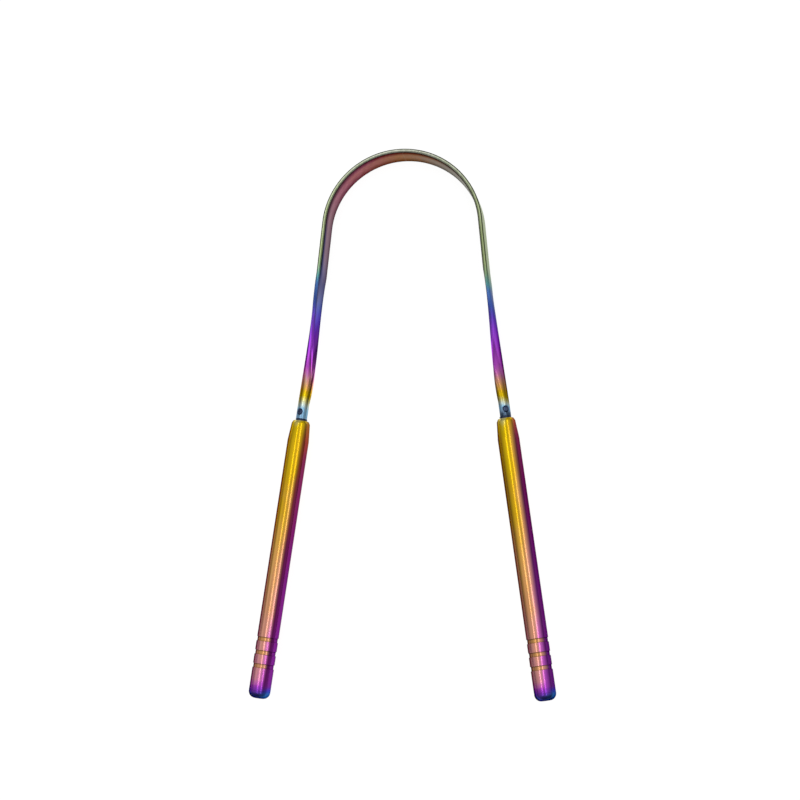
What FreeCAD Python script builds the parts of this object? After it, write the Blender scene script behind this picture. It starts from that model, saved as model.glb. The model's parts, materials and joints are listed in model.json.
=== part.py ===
import FreeCAD, Part
import math
import os
import re

import Sketcher

# A U-shaped tongue scraper: a strip of sheet bent into an arch, whose two legs are rolled into
# thin necks, and two round handles that push onto studs in the necks.
# The tool lies flat. X runs across it, Y from the handles to the arch, and Z is up.
# The origin is under the middle of its box, on the surface that the strip's lower edge rests on.

# Driving dimensions, in millimetres and degrees.
SIZES = {
    # The strip: its arch, its straight legs, and the stretch where it curls into a neck.
    "band_width": 9.0,
    "band_thickness": 1.13,
    "arch_radius": 21.05,
    "leg_angle": 5.75,
    "leg_length": 13.8,
    "curl_length": 35.2,
    "curl_half_angle": 150.0,
    "curl_power": 1.9,
    # The neck, where the sheet is thinner and its seam stays open: how far its axis lies outside the
    # strip's line, and how far it runs to the handle.
    "neck_diameter": 3.1,
    "neck_wall": 0.55,
    "neck_outset": 0.13,
    "neck_length": 4.65,
    # The stud in the neck, and the fits at its two ends.
    "spigot_length": 3.6,
    "spigot_clearance": 0.02,
    "collar_rise": 0.6,
    "collar_gap": 0.03,
    "stem_depth": 14.0,
    "stem_chamfer": 0.4,
    # The pin through the neck's wall into the stud, turned outward from straight up.
    "pin_rise": 2.4,
    "pin_turn": 22.0,
    "pin_head_diameter": 1.4,
    "pin_hole_clearance": 0.025,
    "pin_stem_diameter": 0.7,
    "pin_stem_reach": 0.6,
    # The handle: a tube with a drawn-in nose and grooves near its free end.
    "handle_angle": 8.05,
    "handle_length": 73.85,
    "handle_diameter": 5.7,
    "handle_wall": 0.6,
    "nose_taper_length": 4.6,
    "nose_taper_depth": 0.4,
    "nose_chamfer_length": 0.7,
    "nose_chamfer_depth": 0.38,
    "nose_clearance": 0.08,
    "nose_lip_length": 1.6,
    "bore_taper_length": 3.6,
    "groove_from_end": 8.45,
    "groove_pitch": 3.5,
    "groove_width": 1.1,
    "groove_depth": 0.18,
    # The bush inside the handle, and the plug that closes its end.
    "bush_length": 10.0,
    "bush_clearance": 0.03,
    "plug_head_length": 2.0,
    "plug_depth": 7.0,
    "end_round": 1.8,
    # How far a cut runs past the surface that it opens.
    "cut_overrun": 0.5,
}

# Sizes that follow from the driving ones. A drop is a distance below the arch's centre.
DERIVED = {
    "neck_radius": "neck_diameter / 2",
    "curl_radius": "(neck_diameter - neck_wall) / 2",
    "neck_half_width": "curl_radius * curl_half_angle * pi / 180",
    "mean_angle": "(leg_angle + handle_angle) / 2",
    "leg_start_x": "arch_radius * cos(leg_angle)",
    "leg_start_drop": "-arch_radius * sin(leg_angle)",
    "curl_start_x": "leg_start_x + leg_length * sin(leg_angle)",
    "curl_start_drop": "leg_start_drop + leg_length * cos(leg_angle)",
    "curl_end_x": "curl_start_x + curl_length * sin(mean_angle)",
    "curl_end_drop": "curl_start_drop + curl_length * cos(mean_angle)",
    "neck_x": "curl_end_x + neck_outset * cos(handle_angle)",
    "neck_drop": "curl_end_drop - neck_outset * sin(handle_angle)",
    "reach_length": "neck_length + handle_length",
    "end_x": "neck_x + reach_length * sin(handle_angle)",
    "end_drop": "neck_drop + reach_length * cos(handle_angle)",
    "handle_radius": "handle_diameter / 2",
    "end_flat_radius": "handle_radius - end_round",
    "low_drop": "end_drop + end_flat_radius * sin(handle_angle) + end_round * (1 - cos(handle_angle))",
    "arch_y": "(low_drop - arch_radius - band_thickness / 2) / 2",
    "end_y": "arch_y - end_drop",
    "mid_z": "band_width / 2",
    "spigot_radius": "neck_radius - neck_wall - spigot_clearance",
    "bore_radius": "handle_radius - handle_wall",
    "tube_length": "handle_length - plug_head_length",
    "nose_start": "tube_length - nose_chamfer_length - nose_taper_length",
    "nose_shoulder_radius": "handle_radius - nose_taper_depth",
    "nose_face_radius": "nose_shoulder_radius - nose_chamfer_depth",
    "nose_open_radius": "neck_radius + nose_clearance",
    "lip_start": "tube_length - nose_lip_length",
    "bore_end": "lip_start - bore_taper_length",
    "stud_shoulder": "stem_depth + collar_rise",
    "pin_seat_radius": "neck_radius - neck_wall",
    "pin_head_radius": "pin_head_diameter / 2",
    "pin_hole_radius": "pin_head_radius + pin_hole_clearance",
    "pin_edge_rise": "sqrt(neck_radius ^ 2 - pin_head_radius ^ 2)",
}

CURL_STEPS = 6
GROOVE_COUNT = 3
SIDES = {"left": -1, "right": 1}

doc = FreeCAD.newDocument("TongueScraper")
sheet = doc.addObject("Spreadsheet::Sheet", "Sizes")


def expression(text):
    """Point every size's name in the text at its cell."""
    return re.sub(r"\b([a-z]+(?:_[a-z]+)+)\b", r"Sizes.\1", text)


def value(text):
    """The number that an expression of sizes comes to."""
    return float(sheet.evalExpression(expression(text)))


def bind(thing, name, text):
    thing.setExpression(name, expression(text))


def fill_sheet():
    cells = {name: str(size) for name, size in SIZES.items()}
    cells.update({name: "=" + text for name, text in DERIVED.items()})
    for row, (name, content) in enumerate(cells.items(), 1):
        sheet.set(f"A{row}", name)
        sheet.set(f"B{row}", content)
        sheet.setAlias(f"B{row}", name)
    doc.recompute()


def new_body(label):
    body = doc.addObject("PartDesign::Body", label)
    body.Label = label
    return body


def origin_item(body, role):
    return next(item for item in body.Origin.OriginFeatures if item.Role == role)


def new_sketch(body, plane, name):
    sketch = body.newObject("Sketcher::SketchObject", name)
    sketch.AttachmentSupport = (origin_item(body, plane), "")
    sketch.MapMode = "FlatFace"
    return sketch


def hold(sketch, kind, items, text):
    """Add a dimension that follows an expression of sizes."""
    index = sketch.addConstraint(Sketcher.Constraint(kind, *items, value(text)))
    bind(sketch, f"Constraints[{index}]", text)


def edge_between(start, finish, centre):
    """A straight edge, or the shorter arc about a centre, and its positions at start and finish."""
    if centre is None:
        return Part.LineSegment(start, finish), (1, 2)
    up = FreeCAD.Vector(0, 0, 1)
    first = start - centre
    second = finish - centre
    circle = Part.Circle(centre, up, first.Length)
    turns_left = first.cross(second).z > 0
    angles = [math.atan2(ray.y, ray.x) for ray in ((first, second) if turns_left else (second, first))]
    return Part.ArcOfCircle(circle, *angles), ((1, 2) if turns_left else (2, 1))


def draw_outline(sketch, corners):
    """Draw a closed outline. A corner is x and y, and then, where an arc leaves it, the arc's
    centre x and y and its radius, all as expressions of sizes."""
    points = [FreeCAD.Vector(value(corner[0]), value(corner[1]), 0) for corner in corners]
    edges = []
    for index, corner in enumerate(corners):
        arc = corner[2:]
        centre = FreeCAD.Vector(value(arc[0]), value(arc[1]), 0) if arc else None
        shape, ends = edge_between(points[index], points[(index + 1) % len(points)], centre)
        edges.append((sketch.addGeometry(shape), *ends))
    for index, (edge, _, finish) in enumerate(edges):
        following, start, _ = edges[(index + 1) % len(edges)]
        sketch.addConstraint(Sketcher.Constraint("Coincident", edge, finish, following, start))
    for (edge, start, _), corner in zip(edges, corners):
        for kind, axis, text in (("DistanceX", -2, corner[0]), ("DistanceY", -1, corner[1])):
            if text == "0":
                sketch.addConstraint(Sketcher.Constraint("PointOnObject", edge, start, axis))
            else:
                hold(sketch, kind, (-1, 1, edge, start), text)
        if corner[2:]:
            hold(sketch, "Radius", (edge,), corner[4])


def draw_circle(sketch, radius):
    origin = FreeCAD.Vector(0, 0, 0)
    circle = sketch.addGeometry(Part.Circle(origin, FreeCAD.Vector(0, 0, 1), value(radius)))
    sketch.addConstraint(Sketcher.Constraint("Coincident", circle, 3, -1, 1))
    hold(sketch, "Radius", (circle,), radius)


def offset_sketch(sketch, base, axis, angle):
    """Shift a sketch from its plane and turn it about an axis of that plane."""
    sketch.AttachmentOffset = FreeCAD.Placement(FreeCAD.Vector(0, 0, 0), FreeCAD.Rotation(axis, value(angle)))
    for name, text in zip("xyz", base):
        if text != "0":
            bind(sketch, f"AttachmentOffset.Base.{name}", text)
    bind(sketch, "AttachmentOffset.Rotation.Angle", angle)


def turned_body(label, corners):
    """A body turned about its own Y axis, from an outline of radii and heights."""
    body = new_body(label)
    sketch = new_sketch(body, "XY_Plane", label + "_outline")
    draw_outline(sketch, corners)
    turn = body.newObject("PartDesign::Revolution", label + "_turn")
    turn.Profile = sketch
    turn.ReferenceAxis = (sketch, ["V_Axis"])
    doc.recompute()
    return body


def seat_on_handle(body, side, rise):
    """Stand a turned body on a handle's axis, its lower end this far above the handle's end."""
    bind(body, "Placement.Base.x", f"{side} * (end_x - ({rise}) * sin(handle_angle))")
    bind(body, "Placement.Base.y", f"end_y + ({rise}) * cos(handle_angle)")
    bind(body, "Placement.Base.z", "mid_z")
    bind(body, "Placement.Rotation.Angle", f"{side} * handle_angle")


def cut_pocket(body, sketch, depth, two_sided):
    """Cut a sketch's outline along its normal, and make sure that the cut took something away."""
    before = body.Shape.Volume
    pocket = body.newObject("PartDesign::Pocket", sketch.Name + "_cut")
    pocket.Profile = sketch
    if two_sided:
        pocket.SideType = "Symmetric"
    else:
        pocket.Reversed = True
    bind(pocket, "Length", depth)
    doc.recompute()
    if body.Shape.Volume >= before:
        raise RuntimeError(f"{sketch.Name} cuts nothing")
    return pocket


def curl_section(body, step):
    """The strip's section, part of the way from flat (step 0) to the neck (the last step)."""
    share = step / CURL_STEPS
    section = new_sketch(body, "XZ_Plane", f"curl_section_{step}")
    path_x = f"(curl_start_x + {share} * (curl_end_x - curl_start_x))"
    path_y = f"(arch_y - curl_start_drop - {share} * (curl_end_drop - curl_start_drop))"
    angle = f"(leg_angle + {share} * (handle_angle - leg_angle))"
    if step == 0:
        radius = "0"
        rise = "band_thickness / 2"
        run = "band_width / 2"
        draw_outline(section, [
            (f"-({rise})", f"-({run})"), (rise, f"-({run})"), (rise, run), (f"-({rise})", run),
        ])
    else:
        half_sheet = f"(band_thickness + {share} * (neck_wall - band_thickness)) / 2"
        half_angle = f"(curl_half_angle * {share} ^ curl_power)"
        half_width = f"(band_width / 2 + {share} * (neck_half_width - band_width / 2))"
        radius = f"({half_width} * 180 / pi / {half_angle})"
        ends = {}
        for wall, sign in (("outer", "+"), ("inner", "-")):
            reach = f"({radius} {sign} {half_sheet})"
            ends[wall] = (f"{reach} * cos({half_angle})", f"{reach} * sin({half_angle})", reach)
        draw_curl(section, ends)
    shift = f"({share} * (curl_radius + neck_outset) - {radius})"
    base = (f"{path_x} + {shift} * cos({angle})", "0", f"-({path_y} + {shift} * sin({angle}))")
    offset_sketch(section, base, FreeCAD.Vector(0, 1, 0), angle)
    return section


def draw_curl(section, ends):
    """Two arcs about the section's origin, open on the side away from X, joined at their ends."""
    origin = FreeCAD.Vector(0, 0, 0)
    arcs = {}
    for wall, (x, y, reach) in ends.items():
        half = math.atan2(value(y), value(x))
        circle = Part.Circle(origin, FreeCAD.Vector(0, 0, 1), value(reach))
        arcs[wall] = section.addGeometry(Part.ArcOfCircle(circle, -half, half))
        section.addConstraint(Sketcher.Constraint("Coincident", arcs[wall], 3, -1, 1))
        hold(section, "DistanceX", (-1, 1, arcs[wall], 2), x)
        hold(section, "DistanceY", (-1, 1, arcs[wall], 2), y)
        section.addConstraint(Sketcher.Constraint("Symmetric", arcs[wall], 1, arcs[wall], 2, -1))
    for position in (1, 2):
        tips = [section.getPoint(arcs[wall], position) for wall in ("outer", "inner")]
        edge = section.addGeometry(Part.LineSegment(*tips))
        section.addConstraint(Sketcher.Constraint("Coincident", edge, 1, arcs["outer"], position))
        section.addConstraint(Sketcher.Constraint("Coincident", edge, 2, arcs["inner"], position))


def make_band():
    """The strip: half of it, from the arch's crown to the end of one neck, and its mirror image."""
    body = new_body("scraper_band")
    bind(body, "Placement.Base.z", "mid_z")

    profile = new_sketch(body, "XY_Plane", "half_arch")
    faces = {}
    for face, sign in (("outer", "+"), ("inner", "-")):
        radius = f"(arch_radius {sign} band_thickness / 2)"
        crown = ("0", f"arch_y + {radius}")
        shoulder = (f"{radius} * cos(leg_angle)", f"arch_y + {radius} * sin(leg_angle)")
        foot = (
            f"curl_start_x {sign} band_thickness / 2 * cos(leg_angle)",
            f"arch_y - curl_start_drop {sign} band_thickness / 2 * sin(leg_angle)",
        )
        faces[face] = (crown, shoulder, foot, ("0", "arch_y", radius))
    outer_crown, outer_shoulder, outer_foot, outer_arc = faces["outer"]
    inner_crown, inner_shoulder, inner_foot, inner_arc = faces["inner"]
    draw_outline(profile, [
        outer_crown + outer_arc, outer_shoulder, outer_foot,
        inner_foot, inner_shoulder + inner_arc, inner_crown,
    ])
    strip = body.newObject("PartDesign::Pad", "strip")
    strip.Profile = profile
    strip.SideType = "Symmetric"
    bind(strip, "Length", "band_width")

    sections = [curl_section(body, step) for step in range(CURL_STEPS + 1)]
    doc.recompute()
    curl = body.newObject("PartDesign::AdditiveLoft", "curl")
    curl.Profile = sections[0]
    curl.Sections = sections[1:]
    doc.recompute()

    neck = body.newObject("PartDesign::Pad", "neck")
    neck.Profile = sections[-1]
    bind(neck, "Length", "neck_length - collar_rise - collar_gap")
    doc.recompute()

    hole = new_sketch(body, "XY_Plane", "pin_hole")
    draw_circle(hole, "pin_hole_radius")
    rise = "(handle_length + pin_rise)"
    base = (f"end_x - {rise} * sin(handle_angle)", f"end_y + {rise} * cos(handle_angle)", "0")
    offset_sketch(hole, base, handle_direction(1), "pin_turn")
    pin_hole = cut_pocket(body, hole, "neck_diameter", two_sided=False)

    mirror = body.newObject("PartDesign::Mirrored", "other_half")
    mirror.Originals = [strip, curl, neck, pin_hole]
    mirror.MirrorPlane = (origin_item(body, "YZ_Plane"), [""])
    body.Tip = mirror
    doc.recompute()
    return body


def handle_direction(side):
    """The way a handle's axis points, from its free end to its nose."""
    angle = math.radians(value("handle_angle"))
    return FreeCAD.Vector(-side * math.sin(angle), math.cos(angle), 0)


def make_stud(name, side):
    """A turned stud: its spigot is in the neck, its collar shows, its stem is in the handle."""
    body = turned_body(f"{name}_neck_stud", [
        ("0", "0"),
        ("neck_radius - stem_chamfer", "0"),
        ("neck_radius", "stem_chamfer"),
        ("neck_radius", "stud_shoulder"),
        ("spigot_radius", "stud_shoulder"),
        ("spigot_radius", "stud_shoulder + spigot_length"),
        ("0", "stud_shoulder + spigot_length"),
    ])
    hole = new_sketch(body, "XY_Plane", f"{name}_stud_hole")
    draw_circle(hole, "pin_stem_diameter / 2")
    offset_sketch(hole, ("0", "stem_depth + pin_rise", "0"), FreeCAD.Vector(0, 1, 0), f"{side} * pin_turn")
    cut_pocket(body, hole, "neck_diameter", two_sided=True)
    seat_on_handle(body, side, "handle_length - stem_depth")
    return body


def make_pin(name, side):
    """A headed pin: the head fills the hole in the neck's wall, the stem goes through the stud."""
    body = new_body(f"{name}_cross_pin")
    sketch = new_sketch(body, "XZ_Plane", f"{name}_pin_outline")
    draw_outline(sketch, [
        ("0", "0"),
        ("pin_stem_diameter / 2", "0"),
        ("pin_stem_diameter / 2", "pin_stem_reach + pin_seat_radius"),
        ("pin_head_radius", "pin_stem_reach + pin_seat_radius"),
        ("pin_head_radius", "pin_stem_reach + pin_edge_rise", "0", "pin_stem_reach", "neck_radius"),
        ("0", "pin_stem_reach + neck_radius"),
    ])
    turn = body.newObject("PartDesign::Revolution", f"{name}_pin_turn")
    turn.Profile = sketch
    turn.ReferenceAxis = (sketch, ["V_Axis"])
    rise = "(handle_length + pin_rise)"
    lean = "(pin_stem_reach * sin(pin_turn))"
    inward = f"({rise} * sin(handle_angle) + {lean} * cos(handle_angle))"
    upward = f"({rise} * cos(handle_angle) - {lean} * sin(handle_angle))"
    turned = FreeCAD.Rotation(handle_direction(side), side * value("pin_turn"))
    body.Placement = FreeCAD.Placement(FreeCAD.Vector(0, 0, 0), turned)
    bind(body, "Placement.Base.x", f"{side} * (end_x - {inward})")
    bind(body, "Placement.Base.y", f"end_y + {upward}")
    bind(body, "Placement.Base.z", "mid_z - pin_stem_reach * cos(pin_turn)")
    bind(body, "Placement.Rotation.Angle", f"{side} * pin_turn")
    return body


def make_handle(name, side):
    """A tube with a drawn-in nose, open at its lower end, and grooves near that end."""
    body = turned_body(f"{name}_handle_tube", [
        ("handle_radius", "0"),
        ("handle_radius", "nose_start"),
        ("nose_shoulder_radius", "tube_length - nose_chamfer_length"),
        ("nose_face_radius", "tube_length"),
        ("nose_open_radius", "tube_length"),
        ("nose_open_radius", "lip_start"),
        ("bore_radius", "bore_end"),
        ("bore_radius", "0"),
    ])
    before = body.Shape.Volume
    sketch = new_sketch(body, "XY_Plane", f"{name}_groove_outline")
    low = "groove_from_end - plug_head_length - groove_width / 2"
    draw_outline(sketch, [
        ("handle_radius - groove_depth", low),
        ("handle_radius + cut_overrun", low),
        ("handle_radius + cut_overrun", f"{low} + groove_width"),
        ("handle_radius - groove_depth", f"{low} + groove_width"),
    ])
    groove = body.newObject("PartDesign::Groove", f"{name}_groove")
    groove.Profile = sketch
    groove.ReferenceAxis = (sketch, ["V_Axis"])
    doc.recompute()
    pattern = body.newObject("PartDesign::LinearPattern", f"{name}_grooves")
    pattern.Originals = [groove]
    pattern.Direction = (origin_item(body, "Y_Axis"), [""])
    pattern.Occurrences = GROOVE_COUNT
    bind(pattern, "Length", f"groove_pitch * {GROOVE_COUNT - 1}")
    body.Tip = pattern
    doc.recompute()
    if body.Shape.Volume >= before:
        raise RuntimeError(f"{name} grooves cut nothing")
    seat_on_handle(body, side, "plug_head_length")
    return body


def make_bush(name, side):
    """A ring pressed into the handle's bore, which guides the stud's stem."""
    body = turned_body(f"{name}_socket_bush", [
        ("neck_radius + bush_clearance", "0"),
        ("bore_radius", "0"),
        ("bore_radius", "bush_length"),
        ("neck_radius + bush_clearance", "bush_length"),
    ])
    seat_on_handle(body, side, "plug_head_length + bore_end - bush_length")
    return body


def make_plug(name, side):
    """A plug with a rounded head, pressed into the handle's lower end."""
    body = turned_body(f"{name}_end_plug", [
        ("0", "0"),
        ("end_flat_radius", "0", "end_flat_radius", "end_round", "end_round"),
        ("handle_radius", "end_round"),
        ("handle_radius", "plug_head_length"),
        ("bore_radius", "plug_head_length"),
        ("bore_radius", "plug_head_length + plug_depth"),
        ("0", "plug_head_length + plug_depth"),
    ])
    seat_on_handle(body, side, "0")
    return body


def check(pieces):
    doc.recompute()
    for item in doc.Objects:
        if "Invalid" in item.State or "Error" in item.State:
            raise RuntimeError(f"{item.Label} failed: {item.State}")
    for piece in pieces:
        if piece.Shape.isNull() or not piece.Shape.isValid() or len(piece.Shape.Solids) != 1:
            raise RuntimeError(f"{piece.Label} isn't one valid solid")


def main():
    fill_sheet()
    pieces = [make_band()]
    for name, side in SIDES.items():
        for make in (make_stud, make_pin, make_handle, make_bush, make_plug):
            pieces.append(make(name, side))
    check(pieces)
    os.makedirs("parts", exist_ok=True)
    for piece in pieces:
        piece.Shape.exportStep(f"parts/{piece.Label}.step")
        box = piece.Shape.BoundBox
        low = f"({box.XMin:.2f}, {box.YMin:.2f}, {box.ZMin:.2f})"
        high = f"({box.XMax:.2f}, {box.YMax:.2f}, {box.ZMax:.2f})"
        print(f"{piece.Label}: {piece.Shape.Volume:.2f} mm3, from {low} to {high}")


main()
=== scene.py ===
# A tongue scraper: a sprung steel strip bent into an arch, whose legs curl into necks, and two
# tube handles that push onto studs in the necks. One rainbow oxide film colours all of it.

import json
import math
from collections import namedtuple

import bpy
import numpy as np
from mathutils import Matrix, Vector


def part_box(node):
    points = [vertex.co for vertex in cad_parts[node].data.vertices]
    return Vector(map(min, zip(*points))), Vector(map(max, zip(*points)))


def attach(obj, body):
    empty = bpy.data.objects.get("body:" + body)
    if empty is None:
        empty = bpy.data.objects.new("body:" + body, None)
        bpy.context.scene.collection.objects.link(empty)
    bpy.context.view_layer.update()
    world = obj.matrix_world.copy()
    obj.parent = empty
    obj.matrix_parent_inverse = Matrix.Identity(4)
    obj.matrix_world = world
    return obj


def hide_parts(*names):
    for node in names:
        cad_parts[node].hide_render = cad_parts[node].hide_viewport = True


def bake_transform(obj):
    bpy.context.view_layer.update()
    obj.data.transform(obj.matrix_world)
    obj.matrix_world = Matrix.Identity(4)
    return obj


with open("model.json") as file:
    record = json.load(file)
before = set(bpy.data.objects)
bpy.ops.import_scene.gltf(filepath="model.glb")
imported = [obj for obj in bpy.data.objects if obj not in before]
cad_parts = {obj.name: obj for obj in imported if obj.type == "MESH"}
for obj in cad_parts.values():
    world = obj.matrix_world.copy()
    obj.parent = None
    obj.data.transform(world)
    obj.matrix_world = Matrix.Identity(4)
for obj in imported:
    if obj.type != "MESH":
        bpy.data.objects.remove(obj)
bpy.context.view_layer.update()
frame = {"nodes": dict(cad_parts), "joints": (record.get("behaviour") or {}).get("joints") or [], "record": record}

MM = 0.001
UP = Vector((0, 0, 1))
SIDES = {"left": -1, "right": 1}
scene = bpy.context.scene

# Lengths are in millimetres, and angles are written in degrees. These repeat the solids' sizes that the
# frame doesn't give.
LEG_ANGLE = math.radians(5.75)
LEG_LENGTH = 13.8
CURL_LENGTH = 35.2
CURL_HALF_ANGLE = math.radians(150.0)
CURL_POWER = 1.9
NECK_RADIUS = 1.55
NECK_WALL = 0.55
NECK_OUTSET = 0.13
NECK_LENGTH = 4.65
COLLAR_RISE = 0.6
COLLAR_GAP = 0.03
PIN_RISE = 2.4
PIN_TURN = math.radians(22.0)
PIN_HEAD_RADIUS = 0.7
PIN_HOLE_RADIUS = 0.725
PIN_STEM_RADIUS = 0.35
PIN_STEM_REACH = 0.6
PLUG_HEAD_LENGTH = 2.0
PLUG_DEPTH = 7.0
END_ROUND = 1.8
HANDLE_WALL = 0.6
NOSE_TAPER_LENGTH = 4.6
NOSE_TAPER_DEPTH = 0.4
NOSE_CHAMFER_LENGTH = 0.7
NOSE_CHAMFER_DEPTH = 0.38
NOSE_OPEN_RADIUS = 1.63
NOSE_LIP_LENGTH = 1.6
BORE_TAPER_LENGTH = 3.6
GROOVE_FROM_END = 8.45
GROOVE_PITCH = 3.5
GROOVE_WIDTH = 1.1
GROOVE_DEPTH = 0.18
GROOVE_COUNT = 3

# How the meshes soften the solids' sharp edges.
STRIP_EDGE_ROUND_SHARE = 0.45
TUBE_EDGE_ROUND = 0.06
GROOVE_EDGE_ROUND = 0.06
NOSE_ROUND = 0.5
PIN_CROWN_ROUND = 0.3
PIN_CROWN_DROP = 0.06
PIN_HOLE_FLARE = 0.3
PIN_HOLE_FLARE_DEPTH = 0.3
# How far the pin hole's cutter stands out of the neck.
CUT_OVERRUN = 0.6

# How finely the meshes are divided. A power crowds the arch's sections towards its crown, and a turned
# piece's straight runs have a ring at least every step.
FILLET_STEPS = 8
STRIP_FACE_STEPS = 24
ARCH_STEPS = 48
ARCH_CROWDING = 1.5
LEG_STEPS = 12
CURL_STEPS = 48
NECK_STEPS = 6
TURNED_STEPS = 72
RING_STEP = 1.5
SHARP_ANGLE = math.radians(40)
# Where points stand across the strip's edge, from the outside in, and how far in from a groove's sides,
# for the thin painted shade and highlight lines along them.
STRIP_EDGE_PLACE_SHARES = (0.33, 0.1, -0.25)
GROOVE_LINE = 0.3

# How a screen's levels stand for light: a straight foot, then a power curve.
SCREEN_TOP_LEVEL = 255
SCREEN_FOOT_SHARE = 0.04045
SCREEN_FOOT_SLOPE = 12.92
SCREEN_OFFSET_SHARE = 0.055
SCREEN_POWER = 2.4

# The film's colours in the order in which it thickens: its share, and the colour on a screen.
FILM_COLOURS = (
    (0.00, (16, 24, 44)),
    (0.05, (128, 158, 190)),
    (0.08, (140, 192, 226)),
    (0.11, (205, 222, 215)),
    (0.14, (226, 214, 130)),
    (0.165, (235, 201, 18)),
    (0.20, (238, 188, 36)),
    (0.24, (244, 178, 112)),
    (0.275, (248, 172, 156)),
    (0.31, (226, 126, 200)),
    (0.345, (190, 82, 205)),
    (0.42, (156, 66, 198)),
    (0.50, (132, 66, 196)),
    (0.57, (98, 74, 188)),
    (0.625, (70, 94, 180)),
    (0.71, (78, 120, 182)),
    (0.765, (98, 164, 162)),
    (0.83, (142, 170, 132)),
    (0.90, (160, 174, 124)),
    (1.00, (192, 196, 180)),
)

# The same film's colours on the handles' right flank and left rim, darkened there as painted shade.
FLANK_FILM_AND_SHADE_COLOURS = (
    (0.13, (150, 132, 64)),
    (0.165, (144, 90, 38)),
    (0.195, (146, 60, 48)),
    (0.23, (114, 38, 72)),
    (0.27, (104, 26, 84)),
    (0.31, (100, 26, 100)),
    (0.36, (98, 30, 112)),
    (0.42, (88, 36, 124)),
    (0.50, (54, 50, 156)),
    (0.62, (48, 100, 172)),
)

# The colours of the strip's inner face, by the share of the strip's length from its right end: the
# film's own hues, kept dim as painted shade.
INNER_FILM_AND_SHADE_COLOURS = (
    (0.20, (104, 106, 144)),
    (0.26, (138, 114, 130)),
    (0.33, (136, 126, 120)),
    (0.36, (128, 132, 112)),
    (0.42, (132, 124, 108)),
    (0.46, (142, 116, 96)),
    (0.495, (156, 108, 72)),
    (0.54, (156, 102, 88)),
    (0.58, (164, 100, 102)),
    (0.62, (166, 104, 122)),
    (0.67, (156, 116, 128)),
    (0.74, (144, 114, 134)),
    (0.79, (108, 108, 158)),
)

# Along the strip, places are shares of the half strip's length, up from the neck's end.
# The film along the strip's edges and outer face.
EDGE_FILM_SHARES = {
    "left": (
        (0.0, 0.066), (0.03, 0.083), (0.042, 0.112), (0.058, 0.145), (0.075, 0.178), (0.12, 0.28),
        (0.30, 0.535), (0.43, 0.705), (0.465, 0.78), (0.525, 0.90), (1.0, 1.0),
    ),
    "right": (
        (0.0, 0.008), (0.01, 0.015), (0.017, 0.062), (0.03, 0.08), (0.04, 0.11), (0.055, 0.15),
        (0.07, 0.178), (0.12, 0.295),
        (0.30, 0.54), (0.385, 0.68), (0.42, 0.77), (0.48, 0.88), (1.0, 1.0),
    ),
}
# Where the rolled leg's look gives way to the flat strip's.
ROLLED_SHARES = (0.40, 0.50)
# Where the inner face takes its own colours, how far on in them its upper edge is, and down to where.
INNER_START_SHARES = (0.33, 0.42)
INNER_TILT_SHARE = 0.06
INNER_TILT_DEPTH_SHARE = 0.4
# Painted shade on the neck and leg: how bright the neck is, and how much of the sides' dark there is up
# the neck and the leg.
NECK_SHADE_SHARES = {
    "left": ((0.03, 1.0), (0.06, 0.85), (0.11, 0.85), (0.16, 1.0)),
    "right": ((0.03, 1.0), (0.06, 0.65), (0.12, 0.6), (0.17, 1.0)),
}
NECK_DARK_SHARES = {
    "left": ((0.02, 0.35), (0.06, 1.0)),
    "right": ((0.02, 0.35), (0.06, 1.0), (0.18, 1.0), (0.26, 0.45), (0.36, 0.3)),
}
# Painted shade and highlight on a rolled leg: how bright its film is from its left side to its right.
LEG_SHADE_SHARES = {
    "left": (
        (-1.0, 0.7), (-0.7, 0.5), (-0.5, 0.25), (-0.4, 0.35), (-0.2, 1.2),
        (0.15, 2.0), (0.5, 0.8), (0.75, 0.4), (1.0, 0.2),
    ),
    "right": (
        (-1.0, 0.2), (-0.85, 0.35), (-0.5, 1.1), (-0.2, 1.4),
        (0.15, 1.4), (0.5, 0.7), (0.75, 0.4), (1.0, 0.22),
    ),
}
# Painted shade and light inside the roll: how bright it is from the roll's middle out, and how much of
# that there is up the leg.
HOLLOW_SHADE_SHARES = ((0.0, 0.9), (0.5, 0.75), (1.0, 0.35))
HOLLOW_RISE_SHARES = ((0.15, 0.7), (0.25, 0.65), (0.3, 1.0), (0.34, 1.5), (0.45, 2.0))
# Painted light on the roll's edges: how bright they are, up the leg.
TIP_SHADE_SHARES = ((0.1, 1.4), (0.2, 1.7), (0.32, 0.85))
# Painted shade and highlight on the flat strip: how bright its film is over its edges from the inside
# out, and down its inner face.
EDGE_SHADE_SHARES = ((-0.55, 0.32), (-0.25, 0.48), (0.1, 1.2), (0.33, 1.6), (0.55, 0.14))
INNER_SHADE_SHARES = (
    (0.0, 0.38),
    (0.06, 0.55),
    (0.12, 0.58),
    (0.22, 0.82),
    (0.33, 1.0),
    (0.56, 0.97),
    (0.78, 0.72),
    (0.9, 0.58),
    (1.0, 0.4),
)
# The painted shade lines along the flat strip's rounded edges: how far up their normals point where the
# lines start and stop, and how bright they are.
EDGE_LINE_START_SHARES = (0.02, 0.2)
EDGE_LINE_STOP_SHARES = (0.9, 0.995)
EDGE_LINE_SHADE_SHARE = 0.22
# The dark film painted in the pin's hole and its flared mouth, as painted shade.
HOLE_SHADE_FILM_SHARE = 0.01
# How squarely a point faces into or out of the roll: where its edges stop and its walls start.
FACING_SHARES = (0.3, 0.9)

# Up a handle, places are shares of its length from its free end. Across it, shares of its radius.
# The film up a handle.
HANDLE_FILM_SHARES = (
    (0.0, 0.62),
    (0.014, 0.60),
    (0.028, 0.47),
    (0.046, 0.335),
    (0.064, 0.30),
    (0.09, 0.285),
    (0.11, 0.276),
    (0.25, 0.268),
    (0.32, 0.26),
    (0.46, 0.242),
    (0.60, 0.218),
    (0.75, 0.19),
    (0.91, 0.17),
    (0.975, 0.162),
    (1.0, 0.145),
)
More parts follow.
